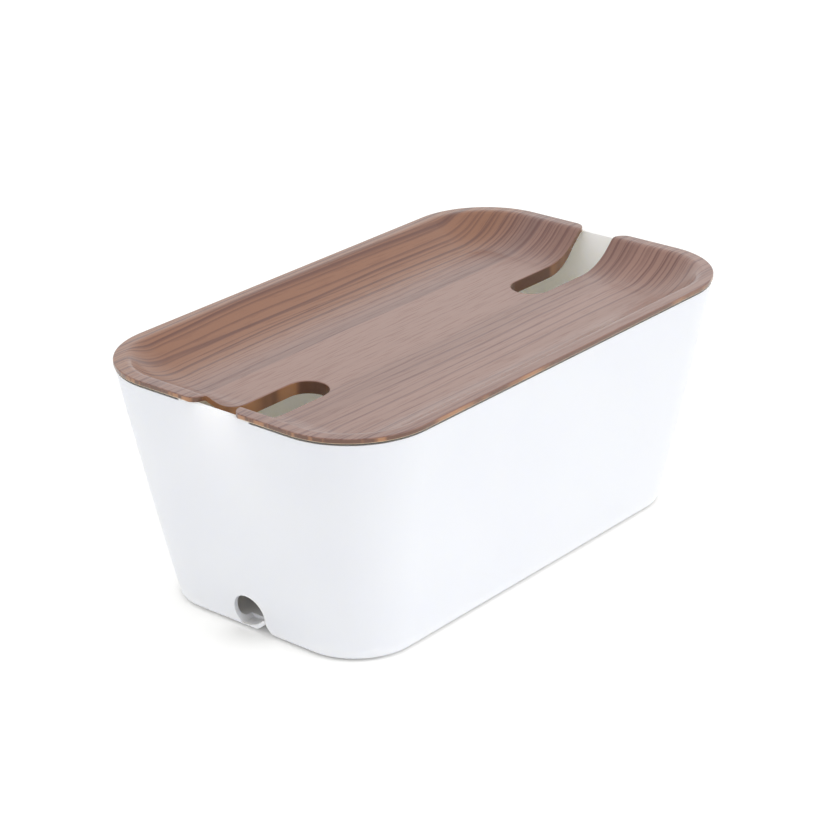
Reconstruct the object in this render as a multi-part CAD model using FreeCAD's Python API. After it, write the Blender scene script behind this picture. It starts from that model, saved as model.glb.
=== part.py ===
import FreeCAD, Part
import math
import os

os.makedirs("parts", exist_ok=True)

# Frame: X along the box, Y across it, Z up, origin on the table under the centre of the box.

# Overall size of the closed box
lid_length = 305.0
lid_width = 183.0
lid_corner_radius = 43.8
overall_height = 127.0
foot_gap = 1.3

# Tub: outline at its lower edge, overhang of the lid past its rim, walls
base_length = 261.0
base_width = 139.8
base_corner_radius = 32.4
lid_overhang = 0.45
side_bulge = 0.5
tub_wall = 2.5
tub_floor = 2.8
tub_base_round = 1.6
tub_inner_round = 5.0
tub_rim_round = 0.5

# Shadow gap under the lid's rim: a rebate round the tub's outer edge that stops beside each slot
seam_gap = 1.0
seam_depth = 1.6
seam_stop = 5.0

# Cable opening low in each short end: a round hole, a curved tongue under it and a flared mouth beside it
hole_radius = 9.9
hole_offset = 2.1
hole_height = 8.9
tongue_thickness = 2.3
tongue_root_offset = 6.0
tongue_root_angle = 52.0
tongue_tip_offset = 6.2
tongue_tip_height = 6.0
tongue_sag = 2.3
mouth_round = 7.3
notch_depth = 8.0

# Lid: rim, sloping sides and floor of the tray
lid_thickness = 2.5
rim_land = 5.5
rim_round = 5.0
tray_slope = 43.0
tray_round = 34.0
tray_depth = 13.6
rim_edge_round = 0.6

# Slot in each end of the lid, and the turned-down edge round it
slot_width = 22.0
slot_end = 77.3
slot_mouth_round = 7.0
lip_wall = 2.0
lip_land = 8.0
lip_slope = 50.0
lip_round = 25.0
lip_drop = 6.7

# Rubber feet in shallow seats under the floor
foot_diameter = 14.0
foot_seat_depth = 0.8
foot_seat_clearance = 0.15
foot_inset = 25.0
foot_edge_round = 0.3

# Worked out from the sizes above, with how far cutters reach past what they cut, and how near
# two places lie that count as the same
tub_bottom = foot_gap
tub_top = overall_height - lid_thickness
tub_height = tub_top - tub_bottom
floor_top = tub_bottom + tub_floor
slot_half = slot_width / 2
clear_of = 5.0
same_place = 0.01


def rounded_rectangle(half_x, half_y, radius, z):
    """Closed wire of a rounded rectangle about the Z axis, at height z."""
    edges = []
    corners = [(1, 1), (-1, 1), (-1, -1), (1, -1)]
    for index, (side_x, side_y) in enumerate(corners):
        centre = FreeCAD.Vector(side_x * (half_x - radius), side_y * (half_y - radius), z)
        start = math.radians(90 * index)
        points = []
        for turn in (0, math.pi / 4, math.pi / 2):
            arm = FreeCAD.Vector(math.cos(start + turn), math.sin(start + turn), 0)
            points.append(centre + arm * radius)
        next_x, next_y = corners[(index + 1) % 4]
        next_centre = FreeCAD.Vector(next_x * (half_x - radius), next_y * (half_y - radius), z)
        end = math.radians(90 * (index + 1))
        next_start = next_centre + FreeCAD.Vector(math.cos(end), math.sin(end), 0) * radius
        edges.append(Part.Arc(*points).toShape())
        edges.append(Part.LineSegment(points[2], next_start).toShape())
    return Part.Wire(edges)


def tub_section(z, inset):
    """Outline of the tub at height z, moved inwards by inset."""
    share = (z - tub_bottom) / tub_height
    bulge = 4 * side_bulge * share * (1 - share)
    top_half_x = lid_length / 2 - lid_overhang
    top_half_y = lid_width / 2 - lid_overhang
    top_radius = lid_corner_radius - lid_overhang
    half_x = base_length / 2 + (top_half_x - base_length / 2) * share + bulge - inset
    half_y = base_width / 2 + (top_half_y - base_width / 2) * share + bulge - inset
    radius = base_corner_radius + (top_radius - base_corner_radius) * share + bulge - inset
    return rounded_rectangle(half_x, half_y, radius, z)


def tub_solid(bottom, top, inset):
    """Tapered, slightly bellied solid between two heights, inset from the tub's outer face."""
    heights = (bottom, (bottom + top) / 2, top)
    return Part.makeLoft([tub_section(z, inset) for z in heights], True, False)


def edges_at(shape, z):
    """Edges of a shape that lie at height z."""
    found = []
    for edge in shape.Edges:
        box = edge.BoundBox
        if abs(box.ZMin - z) < same_place and abs(box.ZMax - z) < same_place:
            found.append(edge)
    return found


def mirrored_ends(shape):
    """The shape at the -X end, and the same turned half round for the +X end."""
    other = shape.copy()
    other.rotate(FreeCAD.Vector(0, 0, 0), FreeCAD.Vector(0, 0, 1), 180)
    return [shape, other]


def cable_opening():
    """Cutter for the cable opening at the -X end.

    A lead is pushed up through the flared mouth in the lower edge, past the tip of the tongue,
    and then rests in the round hole. The cutter also notches the floor behind the mouth.
    """
    outer_end = -lid_length / 2 - clear_of
    inner_end = -base_length / 2 + notch_depth

    def at(y, height):
        return FreeCAD.Vector(outer_end, y, tub_bottom + height)

    def on_hole(angle):
        turn = math.radians(angle)
        return at(hole_offset + hole_radius * math.cos(turn), hole_height + hole_radius * math.sin(turn))

    def sagging(start, end):
        middle = (start + end) / 2
        down = FreeCAD.Vector(0, abs(end.z - start.z), -abs(end.y - start.y)).normalize()
        return Part.Arc(start, middle + down * tongue_sag, end).toShape()

    tongue_top = tongue_tip_height + tongue_thickness / 2
    tongue_under = tongue_tip_height - tongue_thickness / 2
    tip_high = at(-tongue_tip_offset, tongue_top)
    tip_low = at(-tongue_tip_offset, tongue_under)
    tip_end = at(-tongue_tip_offset - tongue_thickness / 2, tongue_tip_height)
    root_high = on_hole(-tongue_root_angle)
    root_low = at(tongue_root_offset, 0)

    side_y = hole_offset - math.sqrt(hole_radius ** 2 - (hole_height - mouth_round) ** 2)
    side = at(side_y, mouth_round)
    flare_lean = mouth_round * (1 - math.cos(math.pi / 4))
    flare_middle = at(side_y - flare_lean, flare_lean)
    flare_end = at(side_y - mouth_round, 0)
    edges = [
        sagging(tip_high, root_high),
        Part.Arc(root_high, on_hole(tongue_root_angle), side).toShape(),
        Part.Arc(side, flare_middle, flare_end).toShape(),
        Part.LineSegment(flare_end, at(flare_end.y, -clear_of)).toShape(),
        Part.LineSegment(at(flare_end.y, -clear_of), at(root_low.y, -clear_of)).toShape(),
        Part.LineSegment(at(root_low.y, -clear_of), root_low).toShape(),
        sagging(root_low, tip_low),
        Part.Arc(tip_low, tip_end, tip_high).toShape(),
    ]
    return Part.Face(Part.Wire(edges)).extrude(FreeCAD.Vector(inner_end - outer_end, 0, 0))


def shadow_gap():
    """Cutter for the rebate round the top of the tub, left out beside the slots of the lid."""
    level = tub_top - seam_gap
    kept = Part.Face(tub_section(level, seam_depth))
    around = Part.Face(tub_section(level, -clear_of))
    ring = around.cut(kept).extrude(FreeCAD.Vector(0, 0, seam_gap + clear_of))
    plain = slot_half + slot_mouth_round + seam_stop
    bridge = Part.makeBox(lid_length + 2 * clear_of, 2 * plain, seam_gap + clear_of)
    bridge.translate(FreeCAD.Vector(-lid_length / 2 - clear_of, -plain, level))
    return ring.cut(bridge)


def foot_places():
    """Centres of the four feet, set in from the corners of the tub's floor."""
    place_x = base_length / 2 - foot_inset
    place_y = base_width / 2 - foot_inset
    return [(x, y) for x in (-place_x, place_x) for y in (-place_y, place_y)]


def box_shell():
    """The tub: tapered walls with a softened lower edge, a floor, foot seats and two cable openings."""
    outer = tub_solid(tub_bottom, tub_top, 0)
    outer = outer.makeFillet(tub_base_round, edges_at(outer, tub_bottom))
    outer = outer.makeFillet(tub_rim_round, edges_at(outer, tub_top))
    cavity = tub_solid(floor_top, tub_top, tub_wall)
    cavity = cavity.makeFillet(tub_inner_round, edges_at(cavity, floor_top))
    shell = outer.cut(cavity).cut(shadow_gap())
    for cutter in mirrored_ends(cable_opening()):
        shell = shell.cut(cutter)
    seat_radius = foot_diameter / 2 + foot_seat_clearance
    for x, y in foot_places():
        corner = FreeCAD.Vector(x, y, tub_bottom - clear_of)
        seat = Part.makeCylinder(seat_radius, clear_of + foot_seat_depth, corner)
        shell = shell.cut(seat)
    return shell


def bowl_profile(land, start_z, top_round, slope, floor_round, depth):
    """Edges of a bowl's side in the XZ plane, X being the distance in from the rim's edge.

    It leaves the level start_z at land, turns down through top_round, falls at the slope and
    turns level again through floor_round, depth below start_z. Returns the edges and their last point.
    """
    angle = math.radians(slope)
    points = [(land, start_z)]

    def add(run, drop):
        x, z = points[-1]
        points.append((x + run, z - drop))

    straight_drop = depth - (top_round + floor_round) * (1 - math.cos(angle))
    half = angle / 2
    if top_round > 0:
        add(top_round * math.sin(half), top_round * (1 - math.cos(half)))
        add(top_round * (math.sin(angle) - math.sin(half)), top_round * (math.cos(half) - math.cos(angle)))
    add(straight_drop / math.tan(angle), straight_drop)
    add(floor_round * (math.sin(angle) - math.sin(half)), floor_round * (math.cos(half) - math.cos(angle)))
    add(floor_round * math.sin(half), floor_round * (1 - math.cos(half)))
    path = [FreeCAD.Vector(x, 0, z) for x, z in points]
    edges = []
    if top_round > 0:
        edges.append(Part.Arc(*path[0:3]).toShape())
        path = path[2:]
    edges.append(Part.LineSegment(path[0], path[1]).toShape())
    edges.append(Part.Arc(*path[1:4]).toShape())
    return edges, path[3]


def filled_bowl(edges, first, last, top):
    """Solid that fills a bowl with the side given by edges, up to the level top."""
    axis_x = lid_corner_radius
    floor = FreeCAD.Vector(axis_x, 0, last.z)
    centre_top = FreeCAD.Vector(axis_x, 0, top)
    rim_top = FreeCAD.Vector(first.x, 0, top)
    outline = list(edges)
    outline.append(Part.LineSegment(last, floor).toShape())
    outline.append(Part.LineSegment(floor, centre_top).toShape())
    outline.append(Part.LineSegment(centre_top, rim_top).toShape())
    if top > first.z:
        outline.append(Part.LineSegment(rim_top, first).toShape())
    face = Part.Face(Part.Wire(outline))
    straight_x = lid_length - 2 * lid_corner_radius
    straight_y = lid_width - 2 * lid_corner_radius
    axis = FreeCAD.Vector(axis_x, 0, 0)
    upright = FreeCAD.Vector(0, 0, 1)
    corner = face.revolve(axis, upright, 90)
    end_side = face.extrude(FreeCAD.Vector(0, straight_y, 0))
    turned_face = face.copy()
    turned_face.rotate(axis, upright, 90)
    long_side = turned_face.extrude(FreeCAD.Vector(straight_x, 0, 0))
    next_corner = corner.copy()
    next_corner.rotate(axis, upright, 90)
    next_corner.translate(FreeCAD.Vector(straight_x, 0, 0))
    pieces = []
    for piece in (corner, end_side, long_side, next_corner):
        piece.translate(FreeCAD.Vector(-lid_length / 2, lid_corner_radius - lid_width / 2, 0))
        pieces.extend(mirrored_ends(piece))
    block_corner = FreeCAD.Vector(-straight_x / 2, -straight_y / 2, last.z)
    block = Part.makeBox(straight_x, straight_y, top - last.z, block_corner)
    return block.multiFuse(pieces).removeSplitter()


def slot_plan(grow, flared):
    """Plan face of the slot at the -X end, grown outwards by grow, with a flared mouth if asked."""
    half = slot_half + grow
    end_centre = -slot_end - slot_half
    rim = -lid_length / 2
    outside = rim - clear_of

    def at(x, y):
        return FreeCAD.Vector(x, y, 0)

    edges = [Part.Arc(at(end_centre, half), at(end_centre + half, 0), at(end_centre, -half)).toShape()]
    if flared:
        turn = slot_mouth_round
        lean = turn * (1 - math.cos(math.pi / 4))
        lower_turn = (at(rim + turn, -half), at(rim + lean, -half - lean), at(rim, -half - turn))
        upper_turn = (at(rim, half + turn), at(rim + lean, half + lean), at(rim + turn, half))
        edges.append(Part.LineSegment(at(end_centre, -half), at(rim + turn, -half)).toShape())
        edges.append(Part.Arc(*lower_turn).toShape())
        edges.append(Part.LineSegment(at(rim, -half - turn), at(outside, -half - turn)).toShape())
        edges.append(Part.LineSegment(at(outside, -half - turn), at(outside, half + turn)).toShape())
        edges.append(Part.LineSegment(at(outside, half + turn), at(rim, half + turn)).toShape())
        edges.append(Part.Arc(*upper_turn).toShape())
        edges.append(Part.LineSegment(at(rim + turn, half), at(end_centre, half)).toShape())
    else:
        edges.append(Part.LineSegment(at(end_centre, -half), at(rim, -half)).toShape())
        edges.append(Part.LineSegment(at(rim, -half), at(rim, half)).toShape())
        edges.append(Part.LineSegment(at(rim, half), at(end_centre, half)).toShape())
    return Part.Face(Part.Wire(edges))


def upper_edges(body):
    """Edges of the lid's upper face: all round its rim and round each slot.

    They lie over the outline of the rim or of a slot, they don't stand upright, and nothing of
    the lid is above them.
    """
    outlines = [rounded_rectangle(lid_length / 2, lid_width / 2, lid_corner_radius, 0)]
    outlines.extend(plan.OuterWire for plan in mirrored_ends(slot_plan(0, True)))
    found = []
    for edge in body.Edges:
        middle = edge.valueAt((edge.FirstParameter + edge.LastParameter) / 2)
        in_plan = Part.Vertex(middle.x, middle.y, 0)
        above = Part.Vertex(middle.x, middle.y, middle.z + lid_thickness / 2)
        on_outline = any(line.distToShape(in_plan)[0] < same_place for line in outlines)
        upright = max(edge.BoundBox.XLength, edge.BoundBox.YLength) < same_place
        if on_outline and not upright and body.distToShape(above)[0] > lid_thickness / 4:
            found.append(edge)
    return found


def lid_tray():
    """The lid: flat rim, tray with sloping sides, and two end slots with turned-down edges."""
    top = overall_height
    underside = top - lid_thickness
    upper, upper_end = bowl_profile(rim_land, top, rim_round, tray_slope, tray_round, tray_depth)
    lower_round = rim_round - lid_thickness
    lower, lower_end = bowl_profile(
        rim_land, underside, lower_round, tray_slope, tray_round + lid_thickness, tray_depth)
    lip_depth = tray_depth + lip_drop - lid_thickness
    lip, lip_end = bowl_profile(lip_land, underside, 0, lip_slope, lip_round, lip_depth)

    hollow = filled_bowl(upper, FreeCAD.Vector(rim_land, 0, top), upper_end, top + clear_of)
    outside = filled_bowl(lower, FreeCAD.Vector(rim_land, 0, underside), lower_end, top - lid_thickness / 2)
    lip_limit = filled_bowl(lip, FreeCAD.Vector(lip_land, 0, underside), lip_end, top - lid_thickness / 2)

    rim_wire = rounded_rectangle(lid_length / 2, lid_width / 2, lid_corner_radius, underside)
    rim = Part.Face(rim_wire).extrude(FreeCAD.Vector(0, 0, lid_thickness))
    rim = rim.makeFillet(rim_edge_round, edges_at(rim, underside))
    body = rim.fuse(outside)
    for plan in mirrored_ends(slot_plan(lip_wall, False)):
        column = plan.copy()
        column.translate(FreeCAD.Vector(0, 0, underside - lip_depth - clear_of))
        column = column.extrude(FreeCAD.Vector(0, 0, lip_depth + clear_of + lid_thickness / 2))
        body = body.fuse(column.common(lip_limit))
    body = body.cut(hollow)
    for plan in mirrored_ends(slot_plan(0, True)):
        cutter = plan.copy()
        cutter.translate(FreeCAD.Vector(0, 0, underside - lip_depth - clear_of))
        body = body.cut(cutter.extrude(FreeCAD.Vector(0, 0, lip_depth + lid_thickness + 2 * clear_of)))
    body = body.removeSplitter()
    return body.makeFillet(rim_edge_round, upper_edges(body))


def foot(x, y):
    """A round rubber pad with softened edges, seated in the floor and standing on the table."""
    height = foot_gap + foot_seat_depth
    pad = Part.makeCylinder(foot_diameter / 2, height, FreeCAD.Vector(x, y, 0))
    return pad.makeFillet(foot_edge_round, edges_at(pad, 0))


def save(name, shape):
    """Write one piece under its name, and print what it is."""
    shape.exportStep(os.path.join("parts", name + ".step"))
    box = shape.BoundBox
    print(name, "solids", len(shape.Solids), "valid", shape.isValid(), "volume", round(shape.Volume),
          "Z", round(box.ZMin, 2), round(box.ZMax, 2))


save("box_shell", box_shell())
save("lid_tray", lid_tray())
for number, (foot_x, foot_y) in enumerate(foot_places(), start=1):
    save("foot_" + str(number), foot(foot_x, foot_y))
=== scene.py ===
import math

import bmesh
import bpy
from mathutils import Matrix, Vector


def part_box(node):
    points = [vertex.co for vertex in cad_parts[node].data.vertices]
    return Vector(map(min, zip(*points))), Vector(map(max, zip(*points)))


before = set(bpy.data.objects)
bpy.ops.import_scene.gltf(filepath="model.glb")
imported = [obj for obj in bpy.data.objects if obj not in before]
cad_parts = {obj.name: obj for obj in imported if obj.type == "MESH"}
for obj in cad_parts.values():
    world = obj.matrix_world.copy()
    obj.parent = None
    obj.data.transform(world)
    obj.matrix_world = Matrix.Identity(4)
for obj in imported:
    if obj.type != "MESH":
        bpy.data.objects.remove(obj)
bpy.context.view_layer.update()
scene = bpy.context.scene


# The tub: one injection-moulded box of white plastic, open at the top, drawn off its core by the
# taper of its walls. It has the satin skin and faint orange peel of moulded plastic, with no
# paint, and its walls are thin enough to let some light through to the inside. The faces of the
# shadow gap under the lid's rim are coloured dark grey as painted shade.

class Socket:
    """One value in a material's node tree, so that shader maths can be written as Python."""

    def __init__(self, finish, link):
        self.finish = finish
        self.link = link

    def _maths(self, operation, *values):
        return self.finish.node("ShaderNodeMath", {"operation": operation}, values)

    def _turn(self, low, high, start, end):
        settings = {"interpolation_type": "SMOOTHSTEP", "clamp": True}
        return self.finish.node("ShaderNodeMapRange", settings, (self, low, high, start, end))

    def __add__(self, other):
        return self._maths("ADD", self, other)

    __radd__ = __add__

    def __sub__(self, other):
        return self._maths("SUBTRACT", self, other)

    def __rsub__(self, other):
        return self._maths("SUBTRACT", other, self)

    def __mul__(self, other):
        return self._maths("MULTIPLY", self, other)

    __rmul__ = __mul__

    def fraction(self):
        """What is left over past the last whole number."""
        return self._maths("FRACT", self)

    def size(self):
        """The value without its sign."""
        return self._maths("ABSOLUTE", self)

    def rises(self, low, high):
        """0 below low and 1 above high, with a smooth turn between them."""
        return self._turn(low, high, 0.0, 1.0)

    def falls(self, low, high):
        """1 below low and 0 above high, with a smooth turn between them."""
        return self._turn(low, high, 1.0, 0.0)

    def held(self):
        """The value kept between 0 and 1, with soft ends."""
        return self.rises(0.0, 1.0)


class Finish:
    """A material under construction, named for the surface it makes."""

    def __init__(self, name):
        self.material = bpy.data.materials.new(name)
        self.material.use_nodes = True
        self.tree = self.material.node_tree
        self.shader = self.tree.nodes["Principled BSDF"]
        coordinates = self.tree.nodes.new("ShaderNodeTexCoord")
        self.place = Socket(self, coordinates.outputs["Object"])
        self.facing = Socket(self, coordinates.outputs["Normal"])

    def node(self, kind, settings=None, values=(), output=0):
        """A node with its settings, and the values or links of its sockets, by place or by name."""
        made = self.tree.nodes.new(kind)
        for key, value in (settings or {}).items():
            setattr(made, key, value)
        pairs = values.items() if isinstance(values, dict) else enumerate(values)
        for key, value in pairs:
            self.join(made.inputs[key], value)
        return Socket(self, made.outputs[output])

    def join(self, target, value):
        """Links a socket, or sets a plain number or colour."""
        if isinstance(value, Socket):
            self.tree.links.new(value.link, target)
        else:
            target.default_value = value

    def set(self, **inputs):
        """Sets the surface shader's inputs: Base_Color=..., Roughness=... and so on."""
        for key, value in inputs.items():
            self.join(self.shader.inputs[key.replace("_", " ")], value)

    def part(self, vector, axis):
        """The X, Y or Z of a vector."""
        return self.node("ShaderNodeSeparateXYZ", values=(vector,), output=axis)

    def point(self, x, y, z):
        """A vector from three numbers."""
        return self.node("ShaderNodeCombineXYZ", values=(x, y, z))

    def noise(self, vector, scale, detail=2.0):
        """Noise from 0 to 1, with scale in repeats per metre."""
        values = {"Vector": vector, "Scale": scale, "Detail": detail}
        return self.node("ShaderNodeTexNoise", values=values)

    def mix(self, share, first, second):
        """Two colours mixed by share, from all of the first at 0 to all of the second at 1."""
        sockets = {0: share, 6: first, 7: second}
        return self.node("ShaderNodeMix", {"data_type": "RGBA"}, sockets, 2)

    def bump(self, height, depth):
        """The normal of a surface raised by height, where height 1 stands depth metres proud."""
        return self.node("ShaderNodeBump", values={"Distance": depth, "Height": height})


def srgb(red, green, blue):
    """A colour written as it looks on a screen, from 0 to 255, as the renderer's own numbers."""
    brightest = 255
    dark_end, dark_slope = 0.04045, 12.92
    curve_offset, curve_power = 0.055, 2.4
    linear = []
    for value in (red, green, blue):
        value = value / brightest
        curved = ((value + curve_offset) / (1 + curve_offset)) ** curve_power
        linear.append(value / dark_slope if value <= dark_end else curved)
    return (*linear, 1.0)


def dress(name, finish):
    """Gives a piece that comes from the frame its finish."""
    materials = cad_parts[name].data.materials
    materials.clear()
    materials.append(finish.material)


# The plastic: its two tones and how they drift, how fine and deep its orange peel is, how matt the
# skin is, how much light gets in, and how far red, green and blue go. Sizes are in metres.
plastic_white = srgb(252, 252, 252)
plastic_shade = srgb(250, 250, 251)
drift_per_metre = 14.0
drift_turn = (0.35, 0.65)
peel_per_metre = 900.0
peel_detail = 3.0
peel_depth = 0.00002
plastic_satin = 0.40
peel_satin = 0.08
see_through = 0.38
light_reach = (0.036, 0.030, 0.019)

# The shadow gap under the lid's rim, whose faces are coloured dark grey as painted shade: the tone
# of that painted shade, how far below the tub's top it starts and is full, and how far from the
# middle line, beside the slots, it does the same.
seam_painted_shade = srgb(88, 82, 84)
seam_starts, seam_full = 0.0012, 0.0009
seam_clear = (0.0215, 0.0235)

tub_finish = Finish("white_moulded_plastic")
tub_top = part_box("box_shell")[1][2]
height = tub_finish.part(tub_finish.place, "Z")
from_middle = tub_finish.part(tub_finish.place, "Y").size()
# Painted shade: a dark grey band on the faces of the gap under the lid's rim, left out beside the
# slots.
in_painted_seam_shade = height.rises(tub_top - seam_starts, tub_top - seam_full) * from_middle.rises(*seam_clear)
drift = tub_finish.noise(tub_finish.place, drift_per_metre).rises(*drift_turn)
peel = tub_finish.noise(tub_finish.place, peel_per_metre, peel_detail)
plastic_without_painted_shade = tub_finish.mix(drift, plastic_shade, plastic_white)
tub_finish.set(
    Base_Color=tub_finish.mix(in_painted_seam_shade, plastic_without_painted_shade, seam_painted_shade),
    Roughness=plastic_satin + peel_satin * peel,
    IOR=1.49,
    Subsurface_Weight=see_through,
    Subsurface_Radius=light_reach,
    Subsurface_Scale=1.0,
    Normal=tub_finish.bump(peel, peel_depth),
)
dress("box_shell", tub_finish)


# The lid: one tray moulded from plastic, laid loose on the tub's edge. A varnished walnut-print
# film covers its upper face and turns down at the rim. The edges of the rim and the slots are
# brown with darker blotches, and the underside is plain tan.

film_pale = srgb(143, 104, 90)
film_mid = srgb(129, 90, 76)
film_ink = srgb(92, 42, 32)
film_grey = srgb(116, 82, 72)
far_pale = srgb(136, 88, 58)
far_ink = srgb(90, 42, 26)
edge_brown = srgb(160, 112, 74)
edge_dark = srgb(80, 45, 32)
underside_tan = srgb(226, 202, 168)

# Where the print changes across the lid, in metres from its middle line towards the far side, and
# where the tray's ends turn up, in metres from the middle of its length.
far_side = (0.040, 0.066)
plain_starts = (-0.014, -0.004)
grey_starts = (0.0345, 0.0355)
grey_fades = (0.0355, 0.056)
end_slope = (0.100, 0.130)

# How far the grain strays sideways, along the whole lid and in ripples at its ends, in metres.
stray = 0.010
ripple = 0.007
noise_middle = 0.5

# The growth rings: their pitch in metres, where in each pitch they darken and end, and the length
# and the number of pitches over which they crowd and part.
ring_pitch = 0.0064
bold_pitch = 0.0110
fine_pitch = 0.0042
ring_darkens = (0.66, 0.90)
ring_ends = (0.92, 0.99)
crowd_length = 0.45
crowd_rings = 5

# The levels of its noise between which each tone and mark comes in, and how much of the fine
# rings the far side shows at every level.
tone_turn = (0.35, 0.65)
ring_turn = (0.30, 0.52)
bold_turn = (0.44, 0.62)
fine_turn = (0.28, 0.52)
dash_turn = (0.50, 0.66)
blotch_turn = (0.40, 0.52)
fine_when_far = 0.6

# How strongly each tone and mark is printed: on the tray's floor, added where it slopes, and left
# out in the plain band.
plain_share = 0.7
grey_share = 0.75
far_share = 0.9
ring_share, ring_slope_share, ring_left_out = 0.74, 0.16, 0.85
bold_share, bold_slope_share = 0.28, 0.42
fine_share, fine_slope_share = 0.10, 0.50
dash_share = 0.18
blotch_share = 0.85

# The upward part of a surface's direction at which tan gives way to the edge, and that to film.
edge_turn = (-0.60, -0.20)
film_turn = (0.30, 0.55)

# The varnish: how matt it is, how much more so in the print's short dashes, and how deep in metres
# those are pressed.
film_satin = 0.36
dash_satin = 0.12
dash_depth = 0.00003

lid_finish = Finish("walnut_print_lid")
along = lid_finish.part(lid_finish.place, "X")
across = lid_finish.part(lid_finish.place, "Y")


def streak(where, length, width, seed, detail=2.0):
    """Noise drawn out along the lid, with the usual length and width of a streak in metres."""
    stretched = lid_finish.point(along * (1 / length), where * (1 / width), seed)
    return lid_finish.noise(stretched, scale=1.0, detail=detail)


at_ends = along.size().rises(*end_slope)
strays = streak(across, length=0.30, width=0.16, seed=0.0) - noise_middle
ripples = streak(across, length=0.045, width=0.035, seed=4.2) - noise_middle
grain = across + strays * stray + ripples * at_ends * ripple


def rings(pitch, crowding, seed):
    """Growth rings, pitch metres apart, that darken slowly and end in a crisp edge. Noise moves
    them by up to crowding pitches, so that they crowd and part."""
    crowd = streak(grain, length=crowd_length, width=crowd_rings * pitch, seed=seed)
    phase = (grain * (1 / pitch) + crowd * crowding).fraction()
    return phase.rises(*ring_darkens) * phase.falls(*ring_ends)


far = grain.rises(*far_side)
steep = (at_ends + far).held()
grey = grain.rises(*grey_starts) * grain.falls(*grey_fades)
plain = grain.rises(*plain_starts) * grain.falls(*grey_starts) * (1.0 - at_ends)
tone = streak(grain, length=0.60, width=0.026, seed=1.3).rises(*tone_turn)
ring_strength = streak(grain, length=0.16, width=0.012, seed=7.7, detail=3.0).rises(*ring_turn)
bold_strength = streak(grain, length=0.20, width=0.016, seed=9.4).rises(*bold_turn)
fine_strength = streak(grain, length=0.09, width=0.010, seed=5.2, detail=3.0).rises(*fine_turn)
ring_lines = rings(ring_pitch, crowding=3.2, seed=2.6) * ring_strength
bold_lines = rings(bold_pitch, crowding=2.6, seed=8.1) * bold_strength
fine_lines = rings(fine_pitch, crowding=2.0, seed=3.9) * (fine_strength + far * fine_when_far).held()
dashes = streak(grain, length=0.018, width=0.0010, seed=5.7).rises(*dash_turn)

film = lid_finish.mix(tone, film_mid, film_pale)
film = lid_finish.mix(plain * plain_share, film, film_pale)
film = lid_finish.mix(grey * grey_share, film, film_grey)
film = lid_finish.mix(far * far_share, film, far_pale)
ink = lid_finish.mix(far, film_ink, far_ink)
ring_ink = ring_lines * (ring_share + steep * ring_slope_share) * (1.0 - plain * ring_left_out)
bold_ink = bold_lines * (bold_share + steep * bold_slope_share) * (1.0 - plain)
fine_ink = fine_lines * (fine_share + steep * fine_slope_share) * (1.0 - plain)
for strength in (ring_ink, bold_ink, fine_ink, dashes * dash_share):
    film = lid_finish.mix(strength, film, ink)

blotch = streak(grain, length=0.045, width=0.006, seed=6.4, detail=3.0).rises(*blotch_turn)
edge = lid_finish.mix(blotch * blotch_share, edge_brown, edge_dark)
level = lid_finish.part(lid_finish.facing, "Z")
bare = lid_finish.mix(level.rises(*edge_turn), underside_tan, edge)
lid_finish.set(
    Base_Color=lid_finish.mix(level.rises(*film_turn), bare, film),
    Roughness=film_satin + dash_satin * dashes,
    IOR=1.5,
    Coat_Weight=0.75,
    Coat_Roughness=0.22,
    Coat_IOR=1.5,
    Normal=lid_finish.bump(1.0 - dashes, dash_depth),
)
dress("lid_tray", lid_finish)


# The feet: four pads punched from grey rubber, each glued in its shallow seat under a corner of
# the tub's floor. They hold the tub's lower edge just clear of the table.

rubber_dark = srgb(112, 112, 112)
rubber_pale = srgb(140, 140, 138)
speckles_per_metre = 2500.0
speckle_depth = 0.00003
rubber_matt = 0.75
speckle_matt = 0.1
foot_count = 4

foot_finish = Finish("grey_rubber")
speckle = foot_finish.noise(foot_finish.place, speckles_per_metre)
foot_finish.set(
    Base_Color=foot_finish.mix(speckle, rubber_dark, rubber_pale),
    Roughness=rubber_matt + speckle_matt * speckle,
    Normal=foot_finish.bump(speckle, speckle_depth),
)
for number in range(1, foot_count + 1):
    dress("foot_" + str(number), foot_finish)


# The table and the light: a white sheet in an even white room, with one broad soft lamp on the
# near right. Seen straight or in a reflection, the sheet glows a little, so that it reads as white
# up to the horizon and still takes the shadow of the box.

sheet_size = 12.0
sheet_white = (1.0, 1.0, 1.0, 1.0)
sheet_glow = (0.02, 0.02, 0.02, 1.0)
no_glow = (0.0, 0.0, 0.0, 1.0)
sheet_matt = 0.9

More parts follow.
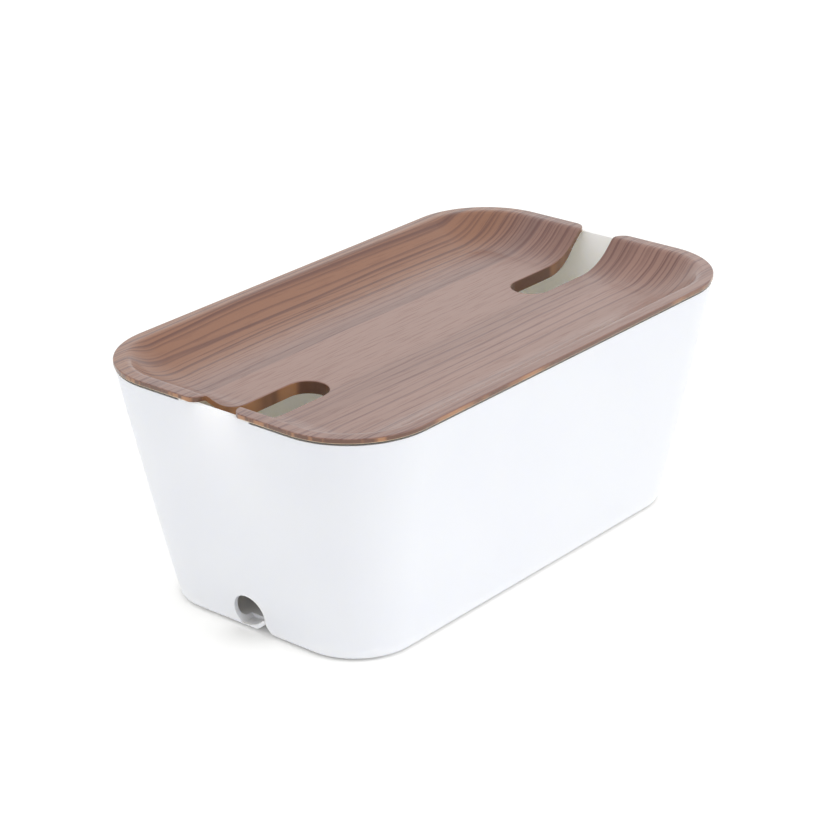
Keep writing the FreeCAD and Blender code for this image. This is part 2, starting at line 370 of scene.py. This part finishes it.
sheet = bmesh.new()
bmesh.ops.create_grid(sheet, x_segments=1, y_segments=1, size=sheet_size / 2)
table_mesh = bpy.data.meshes.new("table")
sheet.to_mesh(table_mesh)
sheet.free()
table = bpy.data.objects.new("table", table_mesh)
scene.collection.objects.link(table)
table_finish = Finish("white_table")
to_camera = table_finish.node("ShaderNodeLightPath", output="Is Camera Ray")
to_gloss = table_finish.node("ShaderNodeLightPath", output="Is Glossy Ray")
through_glass = table_finish.node("ShaderNodeLightPath", output="Is Transmission Ray")
in_sight = (to_camera + to_gloss + through_glass).held()
table_finish.set(
    Base_Color=sheet_white,
    Roughness=sheet_matt,
    Specular_IOR_Level=0.0,
    Emission_Color=table_finish.mix(in_sight, no_glow, sheet_glow),
    Emission_Strength=1.0,
)
table.data.materials.append(table_finish.material)

room_strength = 1.04
room_colour = (1.0, 1.0, 0.99, 1.0)
room = bpy.data.worlds.new("room")
scene.world = room
room.use_nodes = True
background = room.node_tree.nodes["Background"]
background.inputs["Strength"].default_value = room_strength
background.inputs["Color"].default_value = room_colour

lamp_strength = 0.54
lamp_degrees = 35
lamp_from = Vector((0.35, -1.0, 0.55))
lamp_data = bpy.data.lights.new("soft_lamp", "SUN")
lamp_data.energy = lamp_strength
lamp_data.angle = math.radians(lamp_degrees)
lamp = bpy.data.objects.new("soft_lamp", lamp_data)
lamp.rotation_euler = lamp_from.to_track_quat("Z", "Y").to_euler()
scene.collection.objects.link(lamp)

scene.view_settings.view_transform = "Standard"


# The camera: a long lens, looking down on the left end and the near long side of the box. Its
# place is in metres and its angles are in degrees.

camera_place = Vector((-0.92726, -0.77893, 0.59607))
camera_turn = -49.687
camera_tilt = 66.537
camera_roll = -1.008
focal_pixels = 2593.2
frame_pixels = 828
sensor_width = 36.0
farthest = 50.0

lens = bpy.data.cameras.new("camera")
lens.sensor_width = sensor_width
lens.lens = focal_pixels / frame_pixels * sensor_width
lens.clip_end = farthest
camera = bpy.data.objects.new("camera", lens)
turn = Matrix.Rotation(math.radians(camera_turn), 4, "Z")
tilt = Matrix.Rotation(math.radians(camera_tilt), 4, "X")
roll = Matrix.Rotation(math.radians(camera_roll), 4, "Z")
camera.matrix_world = Matrix.Translation(camera_place) @ turn @ tilt @ roll
scene.collection.objects.link(camera)
scene.camera = camera
